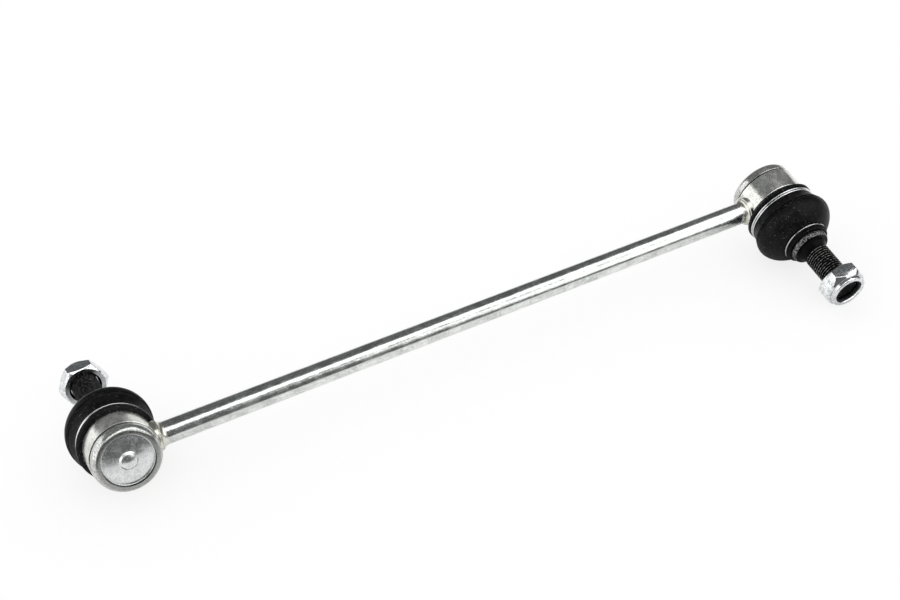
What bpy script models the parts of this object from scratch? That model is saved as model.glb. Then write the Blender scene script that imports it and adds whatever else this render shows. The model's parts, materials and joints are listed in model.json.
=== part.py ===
"""Stabilizer link: a straight rod with a sealed ball joint and a threaded stud at each end.

The rod lies along X. Each ball joint is turned about its own axis, which runs from the closed cap (minus)
through the ball's centre to the threaded stud (plus). In every joint piece below, r is the distance from that
axis and h is the height along it, counted from the ball's centre. Sizes are in metres.
"""

import math

import bmesh
import bpy
from mathutils import Matrix

# Whole link
centre_distance = 0.3226
axis_clocking = math.radians(28.9)
fit_gap = 0.0003

# How each stud leans in its socket as the link lies: how far, and towards which side
lean = {"left": math.radians(7.3), "right": math.radians(2.9)}
lean_side = {"left": 0.0, "right": math.radians(21)}
nut_clocking = {"left": math.radians(28), "right": math.radians(15)}

# Rod and the upset ring that its welding leaves
rod_diameter = 0.010
weld_ring_height = 0.0012
weld_ring_length = 0.0034
weld_ring_edge = 0.0004

# Ball stud
ball_diameter = 0.016
neck_diameter = 0.010
neck_length = 0.0195
stud_swing = math.radians(27)
land_diameter = 0.0156
land_length = 0.0043
flange_height = 0.0309
flange_diameter = 0.0184
flange_rim = 0.0015
flange_bevel = 0.0011
flange_face_diameter = 0.0172
boss_diameter = 0.0140
boss_length = 0.0030
thread_diameter = 0.012
thread_length = 0.0237
thread_chamfer = 0.0010
key_size = 0.005
key_depth = 0.005

# Bearing shell round the ball
shell_wall = 0.0027
shell_shoulder = 0.0024
shell_slot_width = 0.0012
shell_slot_pairs = 3
grease_hole_diameter = 0.0092

# Cover plate: a crowned disc with a raised nib in its middle
plate_thickness = 0.0014
plate_ledge = 0.0016
plate_clearance = 0.00045
plate_crown = 0.0014
nib_diameter = 0.0067
nib_height = 0.00125
nib_foot = 0.0011

# Housing
housing_wall = 0.0038
crimp_thickness = 0.0009
crimp_overlap = 0.0012
rim_corner_round = 0.0015
rim_crown_round = 0.0030
rim_shoulder = 35
rim_step = 0.00035
rim_step_height = 0.0050
boot_shoulder = 0.0048
spigot_length = 0.0055
spigot_wall = 0.0017
spigot_groove = 0.0005
spigot_groove_length = 0.0009
spigot_groove_height = 0.0040
swing_clearance = 0.0006

# Boot
boot_lip_wall = 0.0036
boot_lip_length = 0.0020
boot_lip_round = 0.0010
boot_waist_depth = 0.0006
boot_wall = 0.0020
boot_flare = 0.00115
boot_bulge = 0.0021
boot_crease_height = 0.0154
boot_crease_depth = 0.0004
boot_bead_length = 0.0018
boot_neck_wall = 0.0028
boot_neck_lip = 0.0005
boot_neck_length = 0.0015

# Wire rings that hold the boot
clip_wire = 0.0009
clip_turns = 2
clip_pitch = 0.0014
clip_groove_depth = 1.6
neck_wire = 0.0010

# Nut and the locking insert in its collar
nut_across_flats = 0.019
nut_hex_height = 0.0075
nut_collar_height = 0.0018
nut_collar_diameter = 0.0172
nut_chamfer = 0.00155
nut_face_diameter = 0.0180
nut_distance = 0.0199
countersink = 0.0009
insert_wall = 0.0008
insert_length = 0.0013
collar_lip = 0.0005
collar_opening = 0.0130

# Facets round a full turn
round_steps = 28
small_steps = 24

ball_radius = ball_diameter / 2
neck_radius = neck_diameter / 2
socket_radius = ball_radius + fit_gap
bore_radius = socket_radius + shell_wall + fit_gap
housing_radius = bore_radius + housing_wall


def flare_radius(h):
    """Radius of the housing's mouth at a height, just clear of the neck when the stud swings fully."""
    return h * math.tan(stud_swing) + neck_radius / math.cos(stud_swing) + swing_clearance


# Heights on the cap side, from the ball outwards
plate_inside = -(ball_radius + fit_gap + plate_clearance)
plate_outside = plate_inside - plate_thickness
crimp_inside = plate_outside - fit_gap
rim_top = crimp_inside - crimp_thickness
plate_seat_radius = bore_radius + plate_ledge
plate_radius = plate_seat_radius - fit_gap
shell_bottom = plate_inside + fit_gap

# Heights on the boot side
spigot_top = boot_shoulder + spigot_length
spigot_radius = flare_radius(spigot_top) + spigot_wall
groove_low = boot_shoulder + spigot_groove_height - spigot_groove_length / 2
groove_high = groove_low + spigot_groove_length
boot_lip_radius = spigot_radius + fit_gap + boot_lip_wall
boot_lip_start = boot_shoulder + fit_gap
clip_room = (clip_pitch * clip_turns + clip_wire) / 2 + fit_gap
clip_height = boot_lip_start + boot_lip_length + clip_room
clip_floor = boot_lip_radius - clip_wire * clip_groove_depth
flange_front = flange_height + flange_rim + flange_bevel
thread_start = flange_front + boss_length
stud_end = thread_start + thread_length
boot_neck_inside = land_diameter / 2 + fit_gap
boot_neck_radius = boot_neck_inside + boot_neck_wall + boot_neck_lip
boot_end = flange_height - fit_gap
neck_ring_height = boot_end - boot_neck_length - neck_wire * 0.8
nut_face_height = flange_front + nut_distance


def new_collection(name):
    collection = bpy.data.collections.new(name)
    bpy.context.scene.collection.children.link(collection)
    return collection


def clear_scene():
    for old in list(bpy.data.objects):
        bpy.data.objects.remove(old, do_unlink=True)
    for old in list(bpy.data.collections):
        bpy.data.collections.remove(old)


def make_material(name, colour, roughness, metallic):
    material = bpy.data.materials.new(name)
    material.use_nodes = True
    shader = material.node_tree.nodes["Principled BSDF"]
    shader.inputs["Base Color"].default_value = (*colour, 1)
    shader.inputs["Roughness"].default_value = roughness
    shader.inputs["Metallic"].default_value = metallic
    material.diffuse_color = (*colour, 1)
    return material


def add_object(name, mesh, collection, material=None, parent=None):
    part = bpy.data.objects.new(name, mesh)
    collection.objects.link(part)
    part.parent = parent
    if material:
        mesh.materials.append(material)
    return part


def axis_point(name, collection, parent=None, location=(0, 0, 0), rotation=(0, 0, 0)):
    """An empty on a joint's axis, with its Z along that axis."""
    empty = bpy.data.objects.new(name, None)
    empty.empty_display_size = 0.01
    collection.objects.link(empty)
    empty.parent = parent
    empty.location = location
    empty.rotation_euler = rotation
    return empty


def as_cutter(part):
    part.hide_render = True
    part.display_type = "WIRE"
    return part


def arc(centre, radius, start, end, steps):
    """Points on an arc in the profile plane, with angles in degrees from +r towards +h."""
    points = []
    for i in range(steps + 1):
        angle = math.radians(start + (end - start) * i / steps)
        points.append((centre[0] + radius * math.cos(angle), centre[1] + radius * math.sin(angle)))
    return points


def bezier(a, b, c, d, steps):
    """Points on a cubic curve from a to d, both included."""
    points = []
    for i in range(steps + 1):
        t = i / steps
        weights = ((1 - t) ** 3, 3 * t * (1 - t) ** 2, 3 * t * t * (1 - t), t ** 3)
        points.append(tuple(sum(w * p[k] for w, p in zip(weights, (a, b, c, d))) for k in (0, 1)))
    return points


def turned(name, profile, collection, material=None, parent=None, steps=round_steps, closed=True):
    """A turned piece: its profile of (r, h) runs down the outer side and, if closed, back up the inner one."""
    mesh = bpy.data.meshes.new(name)
    count = len(profile)
    edges = [(i, i + 1) for i in range(count - 1)]
    if closed:
        edges.append((count - 1, 0))
    mesh.from_pydata([(r, 0, h) for r, h in profile], edges, [])
    part = add_object(name, mesh, collection, material, parent)
    screw = part.modifiers.new("Turn", "SCREW")
    screw.axis = "Z"
    screw.angle = math.tau
    screw.steps = steps
    screw.render_steps = steps
    screw.use_merge_vertices = True
    screw.merge_threshold = 0.000001
    return part


def cut(part, cutter, operation="DIFFERENCE"):
    boolean = part.modifiers.new(cutter.name, "BOOLEAN")
    boolean.operation = operation
    boolean.solver = "EXACT"
    boolean.object = cutter


def evaluated_mesh(part):
    bpy.context.view_layer.update()
    shape = part.evaluated_get(bpy.context.evaluated_depsgraph_get())
    return bpy.data.meshes.new_from_object(shape)


def make_shaft(name, diameter, length, collection, material=None, parent=None, steps=32):
    """A cylinder on its own Z axis, centred on its origin."""
    mesh = bpy.data.meshes.new(name)
    shape = bmesh.new()
    bmesh.ops.create_cone(shape, cap_ends=True, segments=steps, radius1=diameter / 2,
                          radius2=diameter / 2, depth=length)
    shape.to_mesh(mesh)
    shape.free()
    return add_object(name, mesh, collection, material, parent)


def make_housing(side, parent):
    """A forged cup: a stepped wall rolled over the cover plate, and a grooved spigot for the boot."""
    lip_radius = plate_radius - crimp_overlap
    groove_radius = spigot_radius - spigot_groove
    spigot_chamfer = spigot_groove * 0.8
    throat = (bore_radius + shell_shoulder - flare_radius(0)) / (1 + math.tan(stud_swing))
    outside = [
        (spigot_radius - spigot_chamfer, spigot_top),
        (spigot_radius, spigot_top - spigot_chamfer),
        (spigot_radius, groove_high + spigot_groove),
        (groove_radius, groove_high),
        (groove_radius, groove_low),
        (spigot_radius, groove_low - spigot_groove),
        (spigot_radius, boot_shoulder),
        (housing_radius - spigot_groove, boot_shoulder),
        (housing_radius, boot_shoulder - spigot_groove),
        (housing_radius, rim_top + rim_step_height + rim_step),
        (housing_radius - rim_step, rim_top + rim_step_height),
    ]
    corner_radius = housing_radius - rim_step - rim_corner_round
    slope = math.radians(rim_shoulder)
    round_change = rim_crown_round - rim_corner_round
    crown_centre = (corner_radius - round_change * math.cos(slope), rim_top + rim_crown_round)
    corner_centre = (corner_radius, crown_centre[1] - round_change * math.sin(slope))
    rolled = arc(corner_centre, rim_corner_round, 0, -rim_shoulder, 2)
    rolled += arc(crown_centre, rim_crown_round, -rim_shoulder, -90, 4)[1:]
    inside = [
        (lip_radius + crimp_thickness / 3, rim_top),
        (lip_radius, rim_top + crimp_thickness / 3),
        (lip_radius, crimp_inside),
        (plate_seat_radius, crimp_inside),
        (plate_seat_radius, shell_bottom),
        (bore_radius, shell_bottom),
        (bore_radius, shell_shoulder),
        (flare_radius(throat), throat),
        (flare_radius(spigot_top), spigot_top),
    ]
    return turned(f"{side}_housing", outside + rolled + inside, parts, zinc, parent)


def crowned(points, level):
    """Lifts points of (r, rise) off the cover plate's crowned surface, whose edge is at a level."""
    return [(r, level - rise - plate_crown * (1 - (r / bore_radius) ** 2)) for r, rise in points]


def make_cover_plate(side, parent):
    """A pressed disc, crowned, with a raised nib in its middle; the housing's rolled rim holds it down."""
    edge = plate_thickness / 5
    nib = nib_diameter / 2
    slope = [(bore_radius, 0), (bore_radius * 0.8, 0), (bore_radius * 0.6, 0)]
    nib_outside = bezier((nib + nib_foot, 0), (nib, 0), (nib * 0.8, nib_height), (0, nib_height), 5)
    nib_inside = [(0, nib_height), (nib * 0.6, nib_height * 0.7), (nib, 0)]
    profile = crowned(nib_inside + slope[::-1], plate_inside)
    profile += [
        (plate_radius - edge, plate_inside),
        (plate_radius, plate_inside - edge),
        (plate_radius, plate_outside + edge),
        (plate_radius - edge, plate_outside),
    ]
    profile += crowned(slope + nib_outside, plate_outside)
    return turned(f"{side}_cover_plate", profile, parts, plate_steel, parent, closed=False)


def shell_top_height():
    """Height where the shell's round socket meets the line that the swung neck keeps clear of."""
    slope = math.tan(stud_swing)
    offset = neck_radius / math.cos(stud_swing) + fit_gap
    spread = 1 + slope ** 2
    root = math.sqrt((slope * offset) ** 2 - spread * (offset ** 2 - socket_radius ** 2))
    return (root - slope * offset) / spread


def make_bearing_shell(side, parent):
    """The plastic shell between ball and housing, slotted from its mouth so that it snaps over the ball."""
    top = shell_top_height()
    outer = bore_radius - fit_gap
    shoulder = shell_shoulder - fit_gap * math.tan(math.pi / 8)
    mouth = outer - (top - shoulder)
    hole = grease_hole_diameter / 2
    start = math.degrees(math.atan2(-math.sqrt(socket_radius ** 2 - hole ** 2), hole))
    end = math.degrees(math.asin(top / socket_radius))
    profile = [
        (mouth, top),
        (outer, shoulder),
        (outer, shell_bottom),
        (hole, shell_bottom),
    ]
    profile += arc((0, 0), socket_radius, start, end, 7)
    shell = turned(f"{side}_bearing_shell", profile, parts, bearing_plastic, parent)
    for i in range(shell_slot_pairs):
        mesh = bpy.data.meshes.new(f"{side}_shell_slot_{i + 1}")
        box = bmesh.new()
        bmesh.ops.create_cube(box, size=1)
        depth = top - shell_bottom
        bmesh.ops.scale(box, vec=(bore_radius * 3, shell_slot_width, depth), verts=box.verts)
        turn = Matrix.Rotation(math.pi * (i + 0.25) / shell_slot_pairs, 4, "Z")
        bmesh.ops.transform(box, matrix=Matrix.Translation((0, 0, top)) @ turn, verts=box.verts)
        box.to_mesh(mesh)
        box.free()
        slot = as_cutter(add_object(mesh.name, mesh, cutters, parent=parent))
        cut(shell, slot)
    return shell


def make_ball_stud(side, parent):
    """One forging: ball, neck, tapered shank with the boot's land, flange, and thread with a hex key socket."""
    thread = thread_diameter / 2
    land_end = flange_height - land_length
    join = math.degrees(math.acos(neck_radius / ball_radius))
    profile = [
        (0, stud_end),
        (thread - thread_chamfer, stud_end),
        (thread, stud_end - thread_chamfer),
        (thread, thread_start),
        (boss_diameter / 2, flange_front + boss_length / 3),
        (boss_diameter / 2, flange_front),
        (flange_face_diameter / 2, flange_front),
        (flange_diameter / 2, flange_front - flange_bevel),
        (flange_diameter / 2, flange_height),
        (land_diameter / 2, flange_height),
        (land_diameter / 2, land_end),
        (neck_radius, neck_length),
    ]
    ball = arc((0, 0), ball_radius, join, -90, 9)
    ball[-1] = (0, -ball_radius)
    stud = turned(f"{side}_ball_stud", profile + ball, parts, black_steel, parent, small_steps, closed=False)
    socket = make_shaft(f"{side}_key_socket", key_size / math.cos(math.pi / 6), key_depth * 2,
                        cutters, parent=parent, steps=6)
    socket.location = (0, 0, stud_end)
    cut(stud, as_cutter(socket))
    return stud


def boot_outline():
    """The boot's outer side from its small end down to its lip: the dome, a bead between two creases, the skirt."""
    waist = boot_lip_radius - boot_waist_depth
    crease = boot_lip_radius + boot_flare
    widest = boot_lip_radius + boot_bulge
    groove_end = clip_height + clip_room
    neck_start = neck_ring_height - neck_wire * 0.8
    bead_top = boot_crease_height + boot_bead_length
    rise = (neck_start - bead_top) * 0.3
    dome = bezier((boot_neck_inside + boot_neck_wall + neck_wire * 1.2, neck_start),
                  (widest - boot_wall, neck_start - rise),
                  (widest, bead_top + rise),
                  (widest - boot_crease_depth, bead_top), 7)
    bead = [
        (widest - boot_crease_depth * 2, bead_top - boot_crease_depth / 2),
        (widest - boot_crease_depth * 1.5, bead_top - boot_bead_length / 2),
        (crease - boot_crease_depth / 2, boot_crease_height + boot_crease_depth / 2),
    ]
    skirt = bezier((crease, boot_crease_height),
                   (crease - boot_flare * 0.45, boot_crease_height - boot_wall * 0.8),
                   (waist + boot_flare * 0.1, groove_end + boot_wall * 0.6),
                   (waist, groove_end), 3)
    return dome, bead, skirt


def boot_profile():
    """The closed section of the rubber boot: lip, ring groove, skirt, creases, dome and small neck."""
    dome, bead, skirt = boot_outline()
    neck_groove = boot_neck_inside + boot_neck_wall
    groove_end = clip_height + clip_room
    inner_lip = spigot_radius + fit_gap
    inner_bead = inner_lip - spigot_groove
    outside = [
        (boot_neck_radius - boot_neck_lip, boot_end),
        (boot_neck_radius, boot_end - boot_neck_length),
        (neck_groove, boot_end - boot_neck_length - neck_wire * 0.1),
        (neck_groove, neck_ring_height - neck_wire * 0.7),
    ]
    outside += dome + bead + skirt
    outside += [
        (clip_floor, groove_end),
        (clip_floor, clip_height - clip_room),
        (boot_lip_radius, clip_height - clip_room - clip_wire * 0.2),
        (boot_lip_radius, boot_lip_start + boot_lip_length * 0.6),
        (boot_lip_radius - boot_lip_round, boot_lip_start + boot_lip_length * 0.3),
        (boot_lip_radius - boot_lip_round * 2, boot_lip_start),
    ]
    inside = [
        (inner_lip, boot_lip_start),
        (inner_lip, groove_low - spigot_groove / 2),
        (inner_bead, groove_low + fit_gap),
        (inner_bead, groove_high - fit_gap),
        (inner_lip, groove_high + spigot_groove / 2),
        (inner_lip, spigot_top + fit_gap),
        (inner_lip + boot_wall * 0.5, groove_end + boot_wall * 0.6),
        (boot_lip_radius + boot_flare - boot_wall, boot_crease_height - boot_wall * 0.2),
    ]
    inside += [(r - boot_wall, h - boot_wall * 0.4) for r, h in reversed(dome[1:-1:2])]
    inside += [(boot_neck_inside, neck_ring_height - boot_wall)]
    return outside + inside + [(boot_neck_inside, boot_end)]


def lean_mesh(mesh, tilt, low, high):
    """Bends a turned mesh about X: still at its low end, turned by the full tilt beyond its high end."""
    for vertex in mesh.vertices:
        share = min(max((vertex.co.z - low) / (high - low), 0), 1)
        share = share * share * (3 - 2 * share)
        leant = Matrix.Rotation(tilt, 3, "X") @ vertex.co
        vertex.co = vertex.co.lerp(leant, share)


def make_boot(side, parent):
    """The rubber boot: its lip grips the spigot, and its small neck follows the stud as it leans."""
    blank = turned(f"{side}_boot_blank", boot_profile(), cutters)
    mesh = evaluated_mesh(blank)
    bpy.data.objects.remove(blank, do_unlink=True)
    mesh.name = f"{side}_boot"
    lean_mesh(mesh, lean[side], clip_height + clip_room, neck_ring_height - boot_wall)
    return add_object(mesh.name, mesh, parts, rubber, parent)


def make_clip_ring(side, parent):
    """The spring wire wound a little over two turns round the boot's lip."""
    turns = bpy.data.curves.new(f"{side}_boot_clip", "CURVE")
    turns.dimensions = "3D"
    turns.bevel_depth = clip_wire / 2
    turns.bevel_resolution = 1
    turns.use_fill_caps = True
    wire = turns.splines.new("POLY")
    count = clip_turns * small_steps + 1
    wire.points.add(count - 1)
    radius = clip_floor + fit_gap + clip_wire / 2
    for i in range(count):
        angle = math.tau * clip_turns * i / (count - 1)
        height = clip_height + clip_pitch * (clip_turns * (i / (count - 1) - 0.5))
        wire.points[i].co = (radius * math.cos(angle), radius * math.sin(angle), height, 1)
    return add_object(turns.name, turns, parts, spring_wire, parent)


def make_neck_ring(side, parent):
    """The single wire ring round the boot's small neck."""
    radius = boot_neck_inside + boot_neck_wall + fit_gap + neck_wire / 2
    section = arc((radius, neck_ring_height), neck_wire / 2, 90, -240, 5)
    return turned(f"{side}_neck_ring", section, parts, spring_wire, parent, small_steps)


def make_nut(side, parent):
    """A thin hex locknut: chamfered flats, then a round collar rolled in over its insert."""
    face = nut_face_height
    hex_end = face + nut_hex_height
    top = hex_end + nut_collar_height
    corner = nut_across_flats / 2 / math.cos(math.pi / 6)
    bore = thread_diameter / 2 + fit_gap
    pocket = bore + insert_wall + fit_gap
    collar = nut_collar_diameter / 2
    pocket_floor = top - collar_lip - insert_length - fit_gap * 2
    face_radius = nut_face_diameter / 2
    blank_radius = corner + fit_gap
    chamfer = nut_chamfer * (blank_radius - face_radius) / (corner - face_radius)
    outside = [
        (collar - collar_lip * 2, top),
        (collar - collar_lip / 2, top - collar_lip / 2),
        (collar, top - collar_lip * 2),
        (collar, hex_end),
        (face_radius, hex_end),
        (blank_radius, hex_end - chamfer),
        (blank_radius, face + chamfer),
        (face_radius, face),
    ]
    inside = [
        (bore + countersink, face),
        (bore, face + countersink),
        (bore, pocket_floor),
        (pocket, pocket_floor),
        (pocket, top - collar_lip),
        (collar_opening / 2, top - collar_lip),
        (collar_opening / 2, top),
    ]
    blank = turned(f"{side}_nut", outside + inside, parts, nut_zinc, parent)
    flats = make_shaft(f"{side}_nut_flats", corner * 2, (top - face) * 3, cutters, parent=parent, steps=6)
    flats.location = (0, 0, face)
    flats.rotation_euler = (0, 0, nut_clocking[side])
    cut(blank, as_cutter(flats), "INTERSECT")
    return blank


def make_nut_insert(side, parent):
    """The nylon ring in the nut's collar, which grips the thread."""
    inner = thread_diameter / 2 + fit_gap
    outer = inner + insert_wall
    top = nut_face_height + nut_hex_height + nut_collar_height - collar_lip - fit_gap
    bottom = top - insert_length
    profile = [(outer, top), (outer, bottom), (inner, bottom), (inner, top)]
    return turned(f"{side}_nut_insert", profile, parts, nylon, parent)


def make_end_clearance(side, parent):
    """The space that the housing and the boot's lip take up, cut from the rod's end and its weld ring."""
    reach = rod_diameter * 2
    profile = [
        (0, reach),
        (boot_lip_radius + fit_gap, reach),
        (boot_lip_radius + fit_gap, boot_shoulder),
        (housing_radius + fit_gap, boot_shoulder),
        (housing_radius + fit_gap, -reach),
        (0, -reach),
    ]
    space = turned(f"{side}_end_clearance", profile, cutters, None, parent, round_steps * 2, closed=False)
    return as_cutter(space)


def make_weld_ring(side, parent, end_clearance):
    """The low ring of upset metal where the rod was resistance-welded to the housing: a ridge, then a flare."""
    inner = rod_diameter / 2 + fit_gap
    outer = rod_diameter / 2 + weld_ring_height
    middle = housing_radius + weld_ring_length * 0.4
    far = housing_radius + weld_ring_length
    profile = [
        (inner + weld_ring_edge, far),
        (outer - weld_ring_edge, middle + weld_ring_edge),
        (outer, middle),
        (outer - weld_ring_edge, middle - weld_ring_edge),
        (outer + weld_ring_edge, housing_radius),
        (outer + weld_ring_edge, housing_radius / 2),
        (inner, housing_radius / 2),
        (inner, far),
    ]
    ring = turned(f"{side}_weld_ring", profile, parts, weld_metal, parent, small_steps)
    ring.rotation_euler = (0, math.pi / 2, 0)
    cut(ring, end_clearance)
    return ring


def make_end(side, link):
    """One whole ball joint, on empties that stand on its axes."""
    left = side == "left"
    place = (-centre_distance / 2 if left else centre_distance / 2, 0, 0)
    turn = (-math.pi / 2 - axis_clocking / 2, 0, 0 if left else math.pi)
    socket_axis = axis_point(f"{side}_socket_axis", parts, link, place, turn)
    swing_axis = axis_point(f"{side}_swing_axis", parts, socket_axis, rotation=(0, 0, lean_side[side]))
    stud_axis = axis_point(f"{side}_stud_axis", parts, swing_axis, rotation=(lean[side], 0, 0))
    make_housing(side, socket_axis)
    make_cover_plate(side, socket_axis)
    make_bearing_shell(side, socket_axis)
    make_clip_ring(side, socket_axis)
    make_boot(side, swing_axis)
    make_neck_ring(side, stud_axis)
    make_ball_stud(side, stud_axis)
    make_nut_insert(side, stud_axis)
    make_nut(side, stud_axis)
    end_clearance = make_end_clearance(side, socket_axis)
    make_weld_ring(side, socket_axis, end_clearance)
    return end_clearance


def make_rod(link, end_cutters):
    """The straight bar, each end shaped to its housing's round wall."""
    rod = make_shaft("rod", rod_diameter, centre_distance - housing_radius, parts, zinc_rod, link)
    rod.rotation_euler = (0, math.pi / 2, 0)
    for cutter in end_cutters:
        cut(rod, cutter)
    return rod


def stand_on_floor(link):
    """Lifts the link so that its lowest point is at height 0."""
    bpy.context.view_layer.update()
    graph = bpy.context.evaluated_depsgraph_get()
    lowest = math.inf
    for part in parts.objects:
        if part.type not in ("MESH", "CURVE"):
            continue
        shape = part.evaluated_get(graph)
        mesh = shape.to_mesh()
        lowest = min(lowest, min((shape.matrix_world @ v.co).z for v in mesh.vertices))
        shape.to_mesh_clear()
    link.location.z = -lowest
    bpy.context.view_layer.update()


def shade_round(part):
    """Smooth shading with sharp edges kept, on the pieces that are meshes."""
    if part.type == "MESH":
        part.data.shade_smooth()
        part.data.set_sharp_from_angle(angle=math.radians(35))


clear_scene()
parts = new_collection("stabilizer_link")
cutters = new_collection("cutters")

zinc = make_material("zinc_plated_housing", (0.62, 0.62, 0.59), 0.32, 1.0)
zinc_rod = make_material("zinc_plated_rod", (0.68, 0.69, 0.66), 0.22, 1.0)
weld_metal = make_material("weld_metal", (0.52, 0.50, 0.40), 0.45, 1.0)
plate_steel = make_material("cover_plate_steel", (0.56, 0.57, 0.56), 0.42, 1.0)
bearing_plastic = make_material("bearing_plastic", (0.85, 0.84, 0.80), 0.45, 0.0)
black_steel = make_material("black_phosphated_steel", (0.03, 0.03, 0.03), 0.5, 0.7)
rubber = make_material("black_rubber", (0.02, 0.02, 0.022), 0.42, 0.0)
spring_wire = make_material("spring_wire", (0.70, 0.71, 0.70), 0.25, 1.0)
nut_zinc = make_material("zinc_plated_nut", (0.72, 0.73, 0.72), 0.28, 1.0)
nylon = make_material("black_nylon", (0.02, 0.02, 0.02), 0.4, 0.0)

stabilizer_link = axis_point("link_axis", parts)
make_rod(stabilizer_link, [make_end(side, stabilizer_link) for side in ("left", "right")])
stand_on_floor(stabilizer_link)
for piece in parts.objects:
    shade_round(piece)
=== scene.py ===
import json
import math

import bmesh
import bpy
from mathutils import Matrix, Vector


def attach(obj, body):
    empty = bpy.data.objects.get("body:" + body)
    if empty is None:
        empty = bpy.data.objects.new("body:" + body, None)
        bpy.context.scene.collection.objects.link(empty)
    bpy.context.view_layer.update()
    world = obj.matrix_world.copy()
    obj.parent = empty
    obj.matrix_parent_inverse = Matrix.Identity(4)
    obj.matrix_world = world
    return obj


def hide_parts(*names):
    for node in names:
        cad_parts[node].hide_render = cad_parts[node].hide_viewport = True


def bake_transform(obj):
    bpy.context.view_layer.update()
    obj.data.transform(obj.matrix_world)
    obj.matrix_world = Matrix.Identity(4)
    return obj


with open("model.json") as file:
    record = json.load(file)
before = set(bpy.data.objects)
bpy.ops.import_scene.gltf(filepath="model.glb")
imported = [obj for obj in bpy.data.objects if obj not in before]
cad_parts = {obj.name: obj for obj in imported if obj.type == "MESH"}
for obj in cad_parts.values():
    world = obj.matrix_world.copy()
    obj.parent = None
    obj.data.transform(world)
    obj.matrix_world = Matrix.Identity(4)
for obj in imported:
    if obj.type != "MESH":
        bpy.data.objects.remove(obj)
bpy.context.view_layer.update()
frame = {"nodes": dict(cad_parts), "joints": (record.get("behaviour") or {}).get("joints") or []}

joints = {joint["name"]: joint for joint in frame["joints"]}

# The two ball joints
# Each has three sets of axes. The socket's Z runs from the closed cap through the ball to the stud. The
# boot's Z is the same, with X on the axis that the stud leans about, and the stud's Z is the stud itself.


def axes(origin, along, across):
    """A frame at origin with its Z along one direction and its X as near as can be to another."""
    z = Vector(along).normalized()
    y = z.cross(Vector(across)).normalized()
    place = Matrix((y.cross(z), y, z)).transposed().to_4x4()
    place.translation = origin
    return place


socket = {}
boot_axes = {}
stud = {}
for side, inwards in (("left", (1, 0, 0)), ("right", (-1, 0, 0))):
    centre = joints[f"{side}_swing_direction"]["pos_m"]
    swing = joints[f"{side}_swing_direction"]["axis"]
    hinge = joints[f"{side}_stud_lean"]["axis"]
    socket[side] = axes(centre, swing, inwards)
    boot_axes[side] = axes(centre, swing, hinge)
    stud[side] = axes(centre, joints[f"{side}_stud_spin"]["axis"], hinge)
sides = ("left", "right")
half_span = socket["right"].translation.x

# Rod
# Drawn 10 mm steel bar, bright zinc plated. Drawing leaves fine lines along it, and the plating over them is
# slightly cloudy. Its ends are welded to the housings and hidden in their walls.
rod_radius = 0.005
rod_end_inset = 0.0135
rod_end_edge = 0.0002


def filleted(corners, steps=5, support=0.00012):
    """Rounds off an outline's corners of (r, h, fillet radius), with a point beside each rounding."""
    outline = []
    last = len(corners) - 1
    for i, (r, h, radius) in enumerate(corners):
        here = Vector((r, h))
        if radius == 0 or i in (0, last):
            outline.append(here)
            continue
        back = Vector(corners[i - 1][:2]) - here
        ahead = Vector(corners[i + 1][:2]) - here
        angle = back.angle(ahead)
        reach = radius / math.tan(angle / 2)
        back_unit = back.normalized()
        ahead_unit = ahead.normalized()
        centre = here + (back_unit + ahead_unit).normalized() * radius / math.sin(angle / 2)
        first = here + back_unit * reach
        final = here + ahead_unit * reach
        outline.append(first + back_unit * min(support, (back.length - reach) / 3))
        sweep = (first - centre).angle_signed(final - centre)
        for k in range(steps + 1):
            turn = Matrix.Rotation(-sweep * k / steps, 2)
            outline.append(centre + turn @ (first - centre))
        outline.append(final + ahead_unit * min(support, (ahead.length - reach) / 3))
    return [(p.x, p.y) for p in outline]


def copied(shape, matrix):
    """Adds a copy of everything in a bmesh, moved by a matrix."""
    everything = shape.verts[:] + shape.edges[:] + shape.faces[:]
    added = bmesh.ops.duplicate(shape, geom=everything)["geom"]
    new_verts = [g for g in added if isinstance(g, bmesh.types.BMVert)]
    bmesh.ops.transform(shape, matrix=matrix, verts=new_verts)


def spun(outline, steps=160, closed=False):
    """A bmesh of an outline of (r, h) turned about Z: an eighth is spun, and doubled three times."""
    shape = bmesh.new()
    points = [shape.verts.new((r, 0, h)) for r, h in outline]
    lines = [shape.edges.new(pair) for pair in zip(points, points[1:])]
    if closed:
        lines.append(shape.edges.new((points[-1], points[0])))
    bmesh.ops.spin(shape, geom=points + lines, axis=(0, 0, 1), cent=(0, 0, 0), angle=math.tau / 8,
                   steps=steps // 8)
    for share in (8, 4, 2):
        copied(shape, Matrix.Rotation(math.tau / share, 4, "Z"))
    bmesh.ops.remove_doubles(shape, verts=shape.verts, dist=1e-7)
    bmesh.ops.recalc_face_normals(shape, faces=shape.faces)
    return shape


def new_piece(name, shape, place, material, body, nodes=(), sharp=40):
    """Turns a bmesh into a piece at its place, which rides on a body and stands for some CAD nodes."""
    bmesh.ops.transform(shape, matrix=place, verts=shape.verts)
    mesh = bpy.data.meshes.new(name)
    shape.to_mesh(mesh)
    shape.free()
    mesh.shade_smooth()
    mesh.set_sharp_from_angle(angle=math.radians(sharp))
    mesh.materials.append(material)
    piece = bpy.data.objects.new(name, mesh)
    bpy.context.scene.collection.objects.link(piece)
    if body:
        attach(piece, body)
    if nodes:
        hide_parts(*nodes)
    return piece


def add_node(tree, kind, inputs=(), **settings):
    """A shader node with its settings, and a value or a link for each input given."""
    node = tree.nodes.new("ShaderNode" + kind)
    for name, value in settings.items():
        setattr(node, name, value)
    for name, value in dict(inputs).items():
        if isinstance(value, bpy.types.NodeSocket):
            tree.links.new(value, node.inputs[name])
        else:
            node.inputs[name].default_value = value
    return node


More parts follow.
